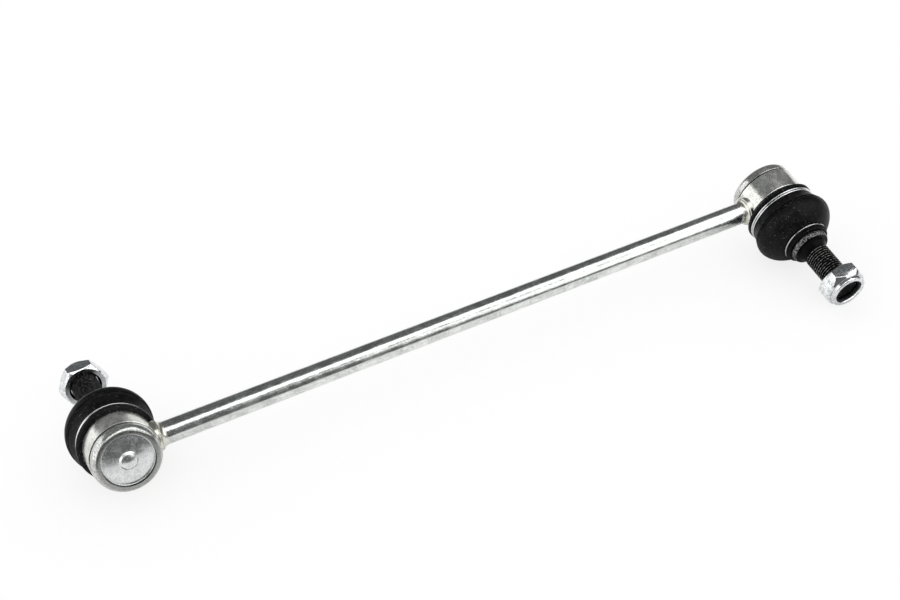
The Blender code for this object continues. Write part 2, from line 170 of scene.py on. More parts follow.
def mixed(tree, share, first, second):
    """The colour between two others."""
    node = tree.nodes.new("ShaderNodeMix")
    node.data_type = "RGBA"
    for index, value in ((0, share), (6, first), (7, second)):
        if isinstance(value, bpy.types.NodeSocket):
            tree.links.new(value, node.inputs[index])
        else:
            node.inputs[index].default_value = value
    return node.outputs[2]


def between(tree, value, low, high, to_low=0.0, to_high=1.0):
    """A value's place between two others, smoothly stretched to a new range."""
    ends = {"From Min": low, "From Max": high, "To Min": to_low, "To Max": to_high}
    node = add_node(tree, "MapRange", {"Value": value, **ends}, interpolation_type="SMOOTHSTEP")
    return node.outputs["Result"]


def new_group(name, inputs, outputs):
    """An empty shader node group with named inputs and outputs, and its two end nodes."""
    group = bpy.data.node_groups.new(name, "ShaderNodeTree")
    for label, kind, value in inputs:
        entry = group.interface.new_socket(name=label, in_out="INPUT", socket_type="NodeSocket" + kind)
        if value is not None:
            entry.default_value = value
    for label, kind in outputs:
        group.interface.new_socket(name=label, in_out="OUTPUT", socket_type="NodeSocket" + kind)
    return group, group.nodes.new("NodeGroupInput").outputs, group.nodes.new("NodeGroupOutput")


# Zinc plating: clouds and a fine grain, both in its colour and in its gloss.
cloud_range = (0.35, 0.65)
tint_range = (0.82, 1.18)
cloud_in_gloss = 0.5
gloss_range = (0.3, 1.1)
plating, given, result = new_group(
    "zinc_plating",
    [("Vector", "Vector", None), ("Light", "Color", None), ("Dark", "Color", None),
     ("Cloud Size", "Float", 0.004), ("Grain Size", "Float", 0.0005),
     ("Low Roughness", "Float", 0.15), ("High Roughness", "Float", 0.3)],
    [("Colour", "Color"), ("Roughness", "Float"), ("Grain", "Float")])
cloud_scale = add_node(plating, "Math", {0: 1.0, 1: given["Cloud Size"]}, operation="DIVIDE")
cloud = add_node(plating, "TexNoise", {"Vector": given["Vector"], "Scale": cloud_scale.outputs[0],
                                       "Detail": 4.0, "Roughness": 0.6})
grain_scale = add_node(plating, "Math", {0: 1.0, 1: given["Grain Size"]}, operation="DIVIDE")
grain = add_node(plating, "TexNoise", {"Vector": given["Vector"], "Scale": grain_scale.outputs[0],
                                       "Detail": 2.0, "Roughness": 0.5})
both = add_node(plating, "Math", {0: cloud.outputs["Fac"], 1: grain.outputs["Fac"]}, operation="ADD")
tint = mixed(plating, between(plating, both.outputs[0], *tint_range), given["Dark"], given["Light"])
plating.links.new(tint, result.inputs["Colour"])
cloud_share = between(plating, cloud.outputs["Fac"], *cloud_range)
gloss = add_node(plating, "Math", {0: cloud_share, 1: cloud_in_gloss}, operation="MULTIPLY")
grain_share = add_node(plating, "Math", {0: grain.outputs["Fac"], 1: gloss.outputs[0]}, operation="ADD")
rough = add_node(plating, "MapRange", {
    "Value": grain_share.outputs[0], "From Min": gloss_range[0], "From Max": gloss_range[1],
    "To Min": given["Low Roughness"], "To Max": given["High Roughness"]})
plating.links.new(rough.outputs["Result"], result.inputs["Roughness"])
plating.links.new(grain.outputs["Fac"], result.inputs["Grain"])

# Lines: a grain drawn out along X, such as a drawing die leaves.
lines, given, result = new_group(
    "drawn_lines",
    [("Vector", "Vector", None), ("Line Width", "Float", 0.0002), ("Line Length", "Float", 0.02)],
    [("Lines", "Float")])
apart = add_node(lines, "SeparateXYZ", {"Vector": given["Vector"]})
along = add_node(lines, "Math", {0: apart.outputs["X"], 1: given["Line Length"]}, operation="DIVIDE")
across = add_node(lines, "Math", {0: apart.outputs["Y"], 1: given["Line Width"]}, operation="DIVIDE")
over = add_node(lines, "Math", {0: apart.outputs["Z"], 1: given["Line Width"]}, operation="DIVIDE")
drawn = add_node(lines, "CombineXYZ", {"X": along.outputs[0], "Y": across.outputs[0], "Z": over.outputs[0]})
streaks = add_node(lines, "TexNoise", {"Vector": drawn.outputs["Vector"], "Scale": 1.0, "Detail": 3.0,
                                       "Roughness": 0.65})
lines.links.new(streaks.outputs["Fac"], result.inputs["Lines"])


def new_finish(name, metallic, place=None):
    """A material, its node tree, its Principled shader, and Object coordinates turned to a piece's axes."""
    material = bpy.data.materials.new(name)
    material.use_nodes = True
    tree = material.node_tree
    shader = tree.nodes["Principled BSDF"]
    shader.inputs["Metallic"].default_value = metallic
    where = tree.nodes.new("ShaderNodeTexCoord").outputs["Object"]
    if place is not None:
        turned = {"Vector": where, "Location": place.translation, "Rotation": place.to_euler()}
        where = add_node(tree, "Mapping", turned, vector_type="TEXTURE").outputs["Vector"]
    return material, tree, shader, where


def use_group(tree, group, values):
    """Places a shader node group with its values and gives its outputs."""
    node = tree.nodes.new("ShaderNodeGroup")
    node.node_tree = group
    for name, value in values.items():
        if isinstance(value, bpy.types.NodeSocket):
            tree.links.new(value, node.inputs[name])
        else:
            node.inputs[name].default_value = value
    return node.outputs


def bumped(tree, height, depth, normal=None):
    """The surface's normal, roughened by a height that is depth metres from low to high."""
    node = add_node(tree, "Bump", {"Height": height, "Distance": depth, "Strength": 1.0})
    if normal:
        tree.links.new(normal, node.inputs["Normal"])
    return node.outputs["Normal"]


def connect(tree, shader, links):
    """Feeds colours, values and normals to the shader's sockets."""
    for name, output in links.items():
        tree.links.new(output, shader.inputs[name])


line_colour = (0.62, 0.635, 0.61, 1)
line_share = (0.36, 0.50)
line_depth = 0.000018
rod_grain_depth = 0.000016
drawn_zinc, tree, shader, where = new_finish("drawn_zinc", 1.0)
coat = use_group(tree, plating, {
    "Vector": where, "Light": (0.93, 0.95, 0.94, 1), "Dark": (0.56, 0.58, 0.565, 1),
    "Cloud Size": 0.006, "Grain Size": 0.0006, "Low Roughness": 0.13, "High Roughness": 0.27})
fine = use_group(tree, lines, {"Vector": where, "Line Width": 0.0004, "Line Length": 0.010})
grained = bumped(tree, coat["Grain"], rod_grain_depth)
streaked = mixed(tree, between(tree, fine["Lines"], *line_share), line_colour, coat["Colour"])
connect(tree, shader, {"Base Color": streaked, "Roughness": coat["Roughness"],
                       "Normal": bumped(tree, fine["Lines"], line_depth, grained)})

rod_half = half_span - rod_end_inset
rod_outline = filleted([(0, rod_half, 0), (rod_radius, rod_half, rod_end_edge), (rod_radius, 0, 0),
                        (rod_radius, -rod_half, rod_end_edge), (0, -rod_half, 0)])
along_x = Matrix.Rotation(math.pi / 2, 4, "Y")
lift = Matrix.Translation((0, 0, socket["left"].translation.z))
new_piece("rod_bar", spun(rod_outline, 128), lift @ along_x, drawn_zinc, "link", ["rod"])

# Weld collars
# Where the rod was resistance-welded to each housing, steel was pushed up into a low double ring that runs
# out into the rod in a hollow curve. The plating over it is thicker and slightly yellow.
collar_core = 0.0040
collar_start = 0.0120
collar_radius = 0.0067
collar_edge = 0.0002
collar_lip = 0.0156
lip_round = 0.00025
collar_valley = 0.0159
valley_depth = 0.0005
valley_round = 0.0001
collar_ridge = 0.0162
ridge_drop = 0.0002
flare_drop = 0.00045
flare_start = collar_ridge + 0.0003
flare_end = 0.0189
flare_skin = 0.00002
# How far along the flare its curve is pulled out, and then in towards the rod
flare_pulls = (0.0006, 0.0013)
weld_grain_depth = 0.00002


def bezier(a, b, c, d, steps):
    """Points on a cubic curve from a to d, both included."""
    points = []
    for i in range(steps + 1):
        t = i / steps
        weights = ((1 - t) ** 3, 3 * t * (1 - t) ** 2, 3 * t * t * (1 - t), t ** 3)
        points.append(tuple(sum(w * p[k] for w, p in zip(weights, (a, b, c, d))) for k in (0, 1)))
    return points


weld_zinc, tree, shader, where = new_finish("weld_zinc", 1.0)
coat = use_group(tree, plating, {
    "Vector": where, "Light": (0.84, 0.83, 0.77, 1), "Dark": (0.70, 0.69, 0.61, 1),
    "Cloud Size": 0.0025, "Grain Size": 0.0006, "Low Roughness": 0.22, "High Roughness": 0.36})
connect(tree, shader, {"Base Color": coat["Colour"], "Roughness": coat["Roughness"],
                       "Normal": bumped(tree, coat["Grain"], weld_grain_depth)})
collar_corners = [
    (collar_core, collar_start, 0),
    (collar_radius, collar_start, collar_edge),
    (collar_radius, collar_lip, lip_round),
    (collar_radius - valley_depth, collar_valley, valley_round),
    (collar_radius - ridge_drop, collar_ridge, collar_edge),
    (collar_radius - flare_drop, flare_start, 0),
]
flare = bezier((collar_radius - flare_drop, flare_start),
               (rod_radius + flare_drop, flare_start + flare_pulls[0]),
               (rod_radius + flare_skin, flare_start + flare_pulls[1]),
               (rod_radius + flare_skin, flare_end), 14)
collar_outline = filleted(collar_corners, 4) + flare[1:] + [(collar_core, flare_end)]
for side in sides:
    new_piece(f"{side}_weld_collar", spun(collar_outline, 128, True), socket[side] @ along_x, weld_zinc,
              "link", [f"{side}_weld_ring"])

# Housings
# A cold-forged steel cup, zinc plated. Its rim is thinned at an undercut step and rolled over the cover
# plate in a crowned bead. Its other end is a plain spigot, hidden inside the boot's lip.
housing_radius = 0.0151
housing_rim = -0.01135
rim_step = 0.00035
rim_step_height = housing_rim + 0.0050
rim_undercut = rim_step * 1.5
undercut_end = rim_step_height - 0.00056
rim_start = rim_step_height - 0.0008
crimp_radius = 0.0114
crimp_inside = housing_rim + 0.0009
plate_bore = 0.0129
shell_bore = 0.0113
bore_ledge = -0.0085
bore_end = 0.0024
throat_radius = 0.0075
throat_height = 0.0035
# The bead's arcs, each given as the slope it ends at and its radius
rim_rounds = ((36, 0.00158), (56.5, 0.00366), (90, 0.00271))
rim_first_slope = 3
spigot_radius = 0.01316
spigot_top = 0.0103
spigot_mouth = 0.0112
housing_shoulder = 0.0048


def arc(centre, radius, start, end, steps):
    """Points on an arc of an outline, with angles in degrees from +r towards +h."""
    turns = [math.radians(start + (end - start) * i / steps) for i in range(steps + 1)]
    return [(centre[0] + radius * math.cos(turn), centre[1] + radius * math.sin(turn)) for turn in turns]


def lathe_coordinates(tree, where):
    """Radius and height of each point in a piece's own axes."""
    apart = add_node(tree, "SeparateXYZ", {"Vector": where})
    flat = add_node(tree, "CombineXYZ", {"X": apart.outputs["X"], "Y": apart.outputs["Y"]})
    radius = add_node(tree, "VectorMath", {0: flat.outputs["Vector"]}, operation="LENGTH")
    return radius.outputs["Value"], apart.outputs["Z"]


def times(tree, *values):
    """The product of values."""
    product = values[0]
    for value in values[1:]:
        product = add_node(tree, "Math", {0: product, 1: value}, operation="MULTIPLY").outputs[0]
    return product


def housing_zinc(side):
    """Satin zinc, speckled on the rolled rim, with painted shade on its inner side, beside the plate and in
    the step.
    """
    crimp_shadow = (0.03, 0.03, 0.03, 1)
    step_painted_shade = (0.03, 0.03, 0.028, 1)
    bead_painted_shade = (0.22, 0.225, 0.215, 1)
    bead_shade_start = 0.0138
    bead_shade_full = 0.0131
    bead_shade_share = 0.65
    grain_depth = 0.000015
    material, tree, shader, where = new_finish(f"{side}_housing_zinc", 0.88, socket[side])
    radius, height = lathe_coordinates(tree, where)
    coat = use_group(tree, plating, {
        "Vector": where, "Light": (0.88, 0.88, 0.84, 1), "Dark": (0.57, 0.575, 0.545, 1),
        "Cloud Size": 0.004, "Grain Size": 0.0006, "Low Roughness": 0.14, "High Roughness": 0.25})
    on_rim = between(tree, height, rim_step_height - 0.0001, rim_step_height - 0.0004)
    speckled = mixed(tree, between(tree, coat["Grain"], 0.38, 0.62),
                     (0.38, 0.385, 0.37, 1), (0.74, 0.745, 0.725, 1))
    # Painted shade: the rim's inner side towards the plate is darkened, as if shaded.
    bead_shade_mask = times(tree, between(tree, radius, bead_shade_start, bead_shade_full), bead_shade_share)
    inner_rim = mixed(tree, bead_shade_mask, speckled, bead_painted_shade)
    crimp = between(tree, radius, crimp_radius + 0.00022, crimp_radius + 0.00010)
    shade = mixed(tree, on_rim, coat["Colour"], mixed(tree, crimp, inner_rim, crimp_shadow))
    # Painted shade: the undercut step is coloured near black, as if in shadow.
    above = between(tree, height, undercut_end - 0.00012, undercut_end - 0.00004)
    below = between(tree, height, rim_step_height + 0.00010, rim_step_height + 0.00002)
    shade = mixed(tree, times(tree, above, below), shade, step_painted_shade)
    connect(tree, shader, {"Base Color": shade, "Roughness": coat["Roughness"],
                           "Normal": bumped(tree, coat["Grain"], grain_depth)})
    return material


outer_corners = [
    (spigot_mouth, spigot_top, 0),
    (spigot_radius, spigot_top, 0.0004),
    (spigot_radius, housing_shoulder, 0.0001),
    (housing_radius, housing_shoulder, 0.0005),
    (housing_radius, rim_step_height + rim_step * 0.6, 0.00012),
    (housing_radius - rim_undercut, rim_step_height, 0.00006),
    (housing_radius - rim_undercut, undercut_end, 0.00006),
    (housing_radius - rim_step, rim_start, 0.00015),
    (housing_radius - rim_step, rim_start - 0.0004, 0),
]
inner_corners = [
    (crimp_radius + 0.0008, housing_rim, 0),
    (crimp_radius, housing_rim, 0.0003),
    (crimp_radius, crimp_inside, 0.0002),
    (plate_bore, crimp_inside, 0.0001),
    (plate_bore, bore_ledge, 0.0001),
    (shell_bore, bore_ledge, 0.0001),
    (shell_bore, bore_end, 0.0002),
    (throat_radius, throat_height, 0),
]


def rolled_rim():
    """The bead over the plate: arcs that run into each other, each up to its slope, put against the wall."""
    points = []
    slope, reach = rim_first_slope, rim_rounds[0][1]
    centre = Vector((0, housing_rim + reach))
    for end, radius in rim_rounds:
        turn = math.radians(slope)
        centre += Vector((math.sin(turn), -math.cos(turn))) * (reach - radius)
        points += arc(centre, radius, slope - 90, end - 90, 8)[bool(points):]
        slope, reach = end, radius
    shift = housing_radius - rim_step - points[-1][0]
    return [(r + shift, h) for r, h in reversed(points)]


housing_outline = filleted(outer_corners, 8) + rolled_rim() + filleted(inner_corners, 6)
for side in sides:
    new_piece(f"{side}_cup", spun(housing_outline, 192, True), socket[side], housing_zinc(side), "link",
              [f"{side}_housing"])

# Cover plates
# A pressed steel disc held by the rolled rim, crowned outwards, its edge curled inwards. The raised nib in
# its middle runs out into the disc in a hollow curve. Satin zinc with a fine grain.
plate_radius = 0.0126
plate_face = -0.01015
plate_inside = -0.00880
plate_edge = 0.0001
plate_crown = 0.0014
crown_radius = 0.0113
curl_start = 0.01092
# The curl's points: how far out from its start, and how far in from the crown
curl_points = ((0.00016, 0.00005), (0.00028, 0.00016), (0.00038, 0.00030))
plate_grain_depth = 0.000016
nib_round = 0.0102
nib_edge = 0.0005
nib_band = 0.0009
nib_foot = 0.0004
nib_slope = 72
nib_steep = 46

cover_zinc, tree, shader, where = new_finish("cover_zinc", 0.96)
coat = use_group(tree, plating, {
    "Vector": where, "Light": (0.84, 0.86, 0.855, 1), "Dark": (0.60, 0.62, 0.62, 1),
    "Cloud Size": 0.0025, "Grain Size": 0.0005, "Low Roughness": 0.18, "High Roughness": 0.30})
connect(tree, shader, {"Base Color": coat["Colour"], "Roughness": coat["Roughness"],
                       "Normal": bumped(tree, coat["Grain"], plate_grain_depth)})


def on_crown(points):
    """Lifts points of (r, rise) off the plate's crowned outer face."""
    return [(r, plate_face - rise - plate_crown * (1 - min(r / crown_radius, 1) ** 2)) for r, rise in points]


def moved(point, distance, turn):
    """A point moved a distance along a direction in degrees."""
    angle = math.radians(turn)
    return (point[0] + distance * math.cos(angle), point[1] + distance * math.sin(angle))


def raised_nib():
    """The nib from its top outwards: a round top, a rounded edge, a straight flank and a hollow foot."""
    points = arc((0, -nib_round), nib_round, 90, nib_slope, 10)
    points += arc(moved(points[-1], -nib_edge, nib_slope), nib_edge, nib_slope, nib_steep, 5)[1:]
    points.append(moved(points[-1], nib_band, nib_steep - 90))
    points += arc(moved(points[-1], nib_foot, nib_steep), nib_foot, 180 + nib_steep, 270, 5)[1:]
    ground = points[-1][1]
    return [(0, points[0][1] - ground)] + [(r, rise - ground) for r, rise in points[1:]]


nib = raised_nib()
foot = nib[-1][0]
crown = [(foot + (curl_start - foot) * i / 12, 0) for i in range(1, 13)]
curl = [(curl_start + outwards, inwards) for outwards, inwards in curl_points]
plate_outline = on_crown(nib + crown + curl)
plate_outline += [(plate_radius - plate_edge, plate_face), (plate_radius, plate_face + plate_edge),
                  (plate_radius, plate_inside), (0, plate_inside)]
for side in sides:
    new_piece(f"{side}_cap_disc", spun(plate_outline, 160), socket[side], cover_zinc, "link",
              [f"{side}_cover_plate"])

# Bearing shells
# The plastic shell between each ball and its housing keeps its CAD solid, because no view shows it. It is
# moulded in natural acetal, off-white and waxy.
bearing_plastic, tree, shader, where = new_finish("bearing_plastic", 0.0)
waxy = add_node(tree, "TexNoise", {"Vector": where, "Scale": 400.0, "Detail": 3.0})
acetal = mixed(tree, waxy.outputs["Fac"], (0.80, 0.78, 0.70, 1), (0.88, 0.87, 0.82, 1))
connect(tree, shader, {"Base Color": acetal,
                       "Roughness": between(tree, waxy.outputs["Fac"], 0.3, 0.7, 0.28, 0.45)})
for side in sides:
    shell = frame["nodes"][f"{side}_bearing_shell"]
    shell.data.materials.clear()
    shell.data.materials.append(bearing_plastic)

# Ball studs
# One forging: ball, neck, tapered shank, flange and a rolled M12 x 1.25 thread with a hex key socket in its
# end. It is black phosphated and oiled, and the flange's edge and the thread's crests are rubbed bright.
ball_radius = 0.008
neck_radius = 0.005
neck_end = 0.0195
land_radius = 0.0078
land_start = 0.0266
flange_height = 0.0309
flange_radius = 0.0092
flange_front = 0.0335
flange_bevel = 0.0006
flange_bevel_height = 0.0011
boss_radius = 0.0070
boss_height = 0.0012
thread_radius = 0.0060
thread_root = 0.00525
thread_pitch = 0.00125
thread_start = 0.0365
# How far the body's core runs on inside the thread, and the thread back over the body
thread_overlap = 0.0004
core_radius = 0.0046
root_round = 0.0002
crest_round = 0.0001
runout_radius = thread_root + 0.0001
runout_slope = 0.5
stud_end = 0.0602
tip_chamfer = 0.0010
tip_least = thread_root - 0.0003
key_flats = 0.005
key_depth = 0.005
thread_steps = 72
# How much bright rubbed metal the thread's crests show. The left stud's lower share is painted shade,
# darkening its thread as if shaded.
crest_wear_and_shade = {"left": 0.25, "right": 1.0}


def black_steel(side):
    """Oiled black steel, rubbed bright in patches on the flange's edge and the thread's crests."""
    black = (0.006, 0.006, 0.0065, 1)
    bare = (0.45, 0.45, 0.44, 1)
    edge_wear = 0.6
    scale_depth = 0.00001
    material, tree, shader, where = new_finish(f"{side}_black_steel", 0.55, stud[side])
    radius, height = lathe_coordinates(tree, where)
    patch = add_node(tree, "TexNoise", {"Vector": where, "Scale": 1100.0, "Detail": 4.0, "Roughness": 0.7})
    worn = between(tree, patch.outputs["Fac"], 0.43, 0.58)
    on_edge = times(tree, between(tree, radius, flange_radius - 0.0009, flange_radius - 0.0003),
                    between(tree, height, flange_height + 0.0001, flange_height + 0.0007), edge_wear)
    # The crests' rubbed wear, cut down on the left stud as painted shade.
    on_crest = times(tree, between(tree, radius, thread_radius - 0.00014, thread_radius - 0.00005),
                     between(tree, height, thread_start - 0.0005, thread_start + 0.0005), crest_wear_and_shade[side])
    exposed = add_node(tree, "Math", {0: on_edge, 1: on_crest}, operation="MAXIMUM").outputs[0]
    colour = mixed(tree, times(tree, exposed, worn), black, bare)
    scaly = add_node(tree, "TexNoise", {"Vector": where, "Scale": 2500.0, "Detail": 3.0})
    connect(tree, shader, {"Base Color": colour,
                           "Roughness": between(tree, scaly.outputs["Fac"], 0.3, 0.7, 0.30, 0.5),
                           "Normal": bumped(tree, scaly.outputs["Fac"], scale_depth)})
    shader.inputs["Specular IOR Level"].default_value = 0.08
    return material


stud_corners = [
    (core_radius, thread_start + thread_overlap, 0),
    (runout_radius, thread_start, 0.0002),
    (boss_radius, flange_front + boss_height, 0.0004),
    (boss_radius, flange_front, 0.0003),
    (flange_radius - flange_bevel, flange_front, 0.0003),
    (flange_radius, flange_front - flange_bevel_height, 0.0004),
    (flange_radius, flange_height, 0.00025),
    (land_radius, flange_height, 0.0002),
    (land_radius, land_start, 0.0005),
    (neck_radius, neck_end, 0.0015),
    (neck_radius, math.sqrt(ball_radius ** 2 - neck_radius ** 2), 0.0006),
]
ball = arc((0, 0), ball_radius, 45, -90, 28)
ball[-1] = (0, -ball_radius)
stud_outline = filleted(stud_corners + [(*ball[0], 0)]) + ball[1:]


def stud_thread():
    """The thread as one ridge wound round its core, run out at the boss and chamfered at the tip."""
    shape = bmesh.new()
    ridge = [(thread_root, 0.0), (thread_root, 0.10), (thread_root + root_round, 0.22),
             (thread_radius - crest_round, 0.46), (thread_radius, 0.52), (thread_radius, 0.60),
             (thread_radius - crest_round, 0.66), (thread_root + root_round, 0.90), (thread_root, 1.0)]
    low = thread_start - thread_pitch * 2
    points = [shape.verts.new((r, 0, low + share * thread_pitch)) for r, share in ridge]
    edges = [shape.edges.new(pair) for pair in zip(points, points[1:])]
    bmesh.ops.spin(shape, geom=points + edges, axis=(0, 0, 1), cent=(0, 0, 0), angle=math.tau,
                   dvec=(0, 0, thread_pitch / thread_steps), steps=thread_steps)
    for doubling in range(5):
        copied(shape, Matrix.Translation((0, 0, thread_pitch * 2 ** doubling)))
    bmesh.ops.remove_doubles(shape, verts=shape.verts, dist=1e-6)
    for height, outwards in ((stud_end, 1), (thread_start - thread_overlap, -1)):
        everything = shape.verts[:] + shape.edges[:] + shape.faces[:]
        bmesh.ops.bisect_plane(shape, geom=everything, plane_co=(0, 0, height), plane_no=(0, 0, outwards),
                               clear_outer=True, dist=1e-7)
    for vertex in shape.verts:
        r = math.hypot(vertex.co.x, vertex.co.y)
        runout = runout_radius + max(vertex.co.z - thread_start, 0) * runout_slope
        end = thread_radius - tip_chamfer + (stud_end - vertex.co.z)
        limit = min(r, runout, max(end, tip_least))
        vertex.co.x *= limit / r
        vertex.co.y *= limit / r
    return shape


def stud_tip(shape):
    """Closes the thread's end with a flat face and sinks the hex key socket in it."""
    rim = [e for e in shape.edges if e.is_boundary and all(abs(v.co.z - stud_end) < 1e-6 for v in e.verts)]
    key_corner = key_flats / 2 / math.cos(math.pi / 6)
    key = bmesh.ops.create_circle(shape, cap_ends=False, radius=key_corner, segments=6,
                                  matrix=Matrix.Translation((0, 0, stud_end)))["verts"]
    key_edges = list({e for v in key for e in v.link_edges})
    bmesh.ops.bridge_loops(shape, edges=rim + key_edges)
    sunk = bmesh.ops.extrude_edge_only(shape, edges=key_edges)["geom"]
    floor_verts = [g for g in sunk if isinstance(g, bmesh.types.BMVert)]
    bmesh.ops.translate(shape, vec=(0, 0, -key_depth), verts=floor_verts)
    floor_edges = [g for g in sunk if isinstance(g, bmesh.types.BMEdge)
                   and all(abs(v.co.z - stud_end + key_depth) < 1e-6 for v in g.verts)]
    bmesh.ops.contextual_create(shape, geom=floor_edges)


for side in sides:
    black = black_steel(side)
    new_piece(f"{side}_stud_body", spun(stud_outline, 128), stud[side], black, f"{side}_stud",
              [f"{side}_ball_stud"])
    thread = stud_thread()
    stud_tip(thread)
    bmesh.ops.recalc_face_normals(thread, faces=thread.faces)
    new_piece(f"{side}_stud_thread", thread, stud[side], black, f"{side}_stud")

# Boots
# Moulded black rubber. The wide lip grips the housing's spigot under a wire clip, the skirt flares to a bead
# between two creases, and the dome runs in to a three-lipped neck that a wire ring holds to the stud.
boot_lip_radius = 0.01706
boot_lip_start = 0.0051
lip_bore = 0.0135
lip_bore_end = 0.0106
clip_height = 0.00925
clip_floor = 0.01540
groove_half = 0.0013
groove_bottom = clip_height - groove_half
groove_top = clip_height + groove_half
bend_start = 0.0121
waist_radius = 0.01646
crease_height = 0.0154
crease_radius = 0.0182
crease_depth = 0.0010
bead_top = 0.0172
# The bead's points: how far in from the dome's radius, and how far back from its top
bead_form = ((0.0006, 0.00010), (0.0013, 0.00030), (0.00075, 0.00052), (0.00058, 0.0008), (0.00062, 0.0011),
             (0.00080, 0.0013))
dome_radius = 0.01916
dome_widest = 0.0203
dome_shoulder = 0.0244
boot_wall = 0.0020
boot_neck_inside = 0.0081
boot_neck = 0.0104
boot_end = 0.0306
# The neck's lips: how far out from the neck, how far back from the boot's end, and the rounding
neck_lips = ((-0.0001, 0, 0.00015), (0.0002, 0.0003, 0.0001), (-0.0003, 0.0005, 0.0001),
             (0.0005, 0.0008, 0.0001), (-0.0002, 0.0010, 0.0001), (0.0006, 0.00125, 0.0001),
             (0.0006, 0.0015, 0.00008), (0, 0.0016, 0.00005))
ring_height = 0.0283
neck_wire = 0.0010

# Specks: sparse light dots of dust on a dark surface.
dot_reach = 0.16
specks, given, result = new_group(
    "specks", [("Vector", "Vector", None), ("Spacing", "Float", 0.001), ("Cover", "Float", 0.06)],
    [("Specks", "Float")])
dot_scale = add_node(specks, "Math", {0: 1.0, 1: given["Spacing"]}, operation="DIVIDE")
dots = add_node(specks, "TexVoronoi", {"Vector": given["Vector"], "Scale": dot_scale.outputs[0]})
near_dot = add_node(specks, "Math", {0: dots.outputs["Distance"], 1: dot_reach}, operation="LESS_THAN")
lot = add_node(specks, "SeparateColor", {"Color": dots.outputs["Color"]})
chosen = add_node(specks, "Math", {0: lot.outputs[0], 1: given["Cover"]}, operation="LESS_THAN")
spot = add_node(specks, "Math", {0: near_dot.outputs[0], 1: chosen.outputs[0]}, operation="MULTIPLY")
specks.links.new(spot.outputs[0], result.inputs["Specks"])


def boot_rubber(side):
    """Black rubber with a faint bloom, dusty pores and sparse specks."""
    dust_grey = (0.34, 0.34, 0.34, 1)
    pore_grey = (0.024, 0.023, 0.026, 1)
    pore_depth = 0.000012
    material, tree, shader, where = new_finish(f"{side}_rubber", 0.0, boot_axes[side])
    bloom = add_node(tree, "TexNoise", {"Vector": where, "Scale": 220.0, "Detail": 5.0, "Roughness": 0.6})
    pores = add_node(tree, "TexNoise", {"Vector": where, "Scale": 1500.0, "Detail": 3.0})
    dust = use_group(tree, specks, {"Vector": where, "Spacing": 0.0007, "Cover": 0.10})
    soft = between(tree, bloom.outputs["Fac"], 0.35, 0.7)
    dark = mixed(tree, soft, (0.003, 0.003, 0.0035, 1), (0.008, 0.008, 0.009, 1))
    dusty = mixed(tree, between(tree, pores.outputs["Fac"], 0.53, 0.70), dark, pore_grey)
    connect(tree, shader, {"Base Color": mixed(tree, dust["Specks"], dusty, dust_grey),
                           "Roughness": between(tree, bloom.outputs["Fac"], 0.3, 0.7, 0.32, 0.48),
                           "Normal": bumped(tree, pores.outputs["Fac"], pore_depth)})
    shader.inputs["Specular IOR Level"].default_value = 0.09
    return material


def boot_outline():
    """The boot's closed section, from the small end down its outer side and back up inside."""
    neck = [(boot_neck_inside, boot_end, 0)]
    neck += [(boot_neck + out, boot_end - back, rounding) for out, back, rounding in neck_lips]
    neck.append((boot_neck, ring_height - neck_wire * 0.7, 0))
    dome = bezier((boot_neck + 0.0012, ring_height - neck_wire * 0.8), (dome_radius - 0.0020, dome_shoulder),
                  (dome_radius, dome_widest), (dome_radius - 0.0004, bead_top), 28)
    bead = [(dome_radius - within, bead_top - back) for within, back in bead_form]
    bead += [(crease_radius - crease_depth, crease_height + 0.00012),
             (crease_radius - crease_depth, crease_height + 0.00002)]
    skirt = bezier((crease_radius - 0.0001, crease_height - 0.0003),
                   (crease_radius - 0.0005, crease_height - 0.0016),
                   (waist_radius + 0.0001, groove_top + 0.0014), (waist_radius, groove_top + 0.0001), 14)
    lip = [
        (*skirt[-1], 0),
        (clip_floor, groove_top - 0.0002, 0.0002),
        (clip_floor, groove_bottom + 0.0001, 0.0002),
        (boot_lip_radius, groove_bottom - 0.0002, 0.0002),
        (boot_lip_radius, boot_lip_start + 0.0014, 0.0003),
        (boot_lip_radius - 0.0009, boot_lip_start + 0.0006, 0.0004),
        (boot_lip_radius - 0.0022, boot_lip_start, 0.0002),
        (lip_bore, boot_lip_start, 0),
    ]
    inside = [(lip_bore, lip_bore_end), (lip_bore + 0.0010, lip_bore_end + 0.0020),
              (crease_radius - boot_wall, crease_height - 0.0004)]
    inside += [(r - boot_wall, h - boot_wall * 0.4) for r, h in reversed(dome[1:-1:3])]
    inside += [(boot_neck_inside, ring_height - boot_wall)]
    return filleted(neck, 3, 0.00004) + dome + bead + skirt[:-1] + filleted(lip, 5) + inside


def lean_over(shape, tilt, low, high):
    """Bends a boot with its stud: still at its lip, turned by the whole tilt at its neck."""
    for vertex in shape.verts:
        share = min(max((vertex.co.z - low) / (high - low), 0), 1)
        share = share * share * (3 - 2 * share)
        leant = Matrix.Rotation(tilt, 3, "X") @ vertex.co
        vertex.co = vertex.co.lerp(leant, share)


for side in sides:
    shape = spun(boot_outline(), 192, True)
    tilt = math.acos(min(1, boot_axes[side].col[2].to_3d().dot(stud[side].col[2].to_3d())))
    lean_over(shape, tilt, bend_start, ring_height - boot_wall)
    boot = new_piece(f"{side}_rubber_boot", shape, boot_axes[side], boot_rubber(side), None,
                     [f"{side}_boot"])
    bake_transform(boot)

# Boot clips
# Bright spring wire wound twice round each boot's lip and pressed into the rubber, its ends underneath. The
# left one's second turn has pulled in deeper, so that only its first turn shows.
clip_wire = 0.00085
clip_pitch = 0.0011
clip_radius = 0.01637
clip_sink = {"left": 0.00015, "right": 0.0}
wire_grain_depth = 0.000008

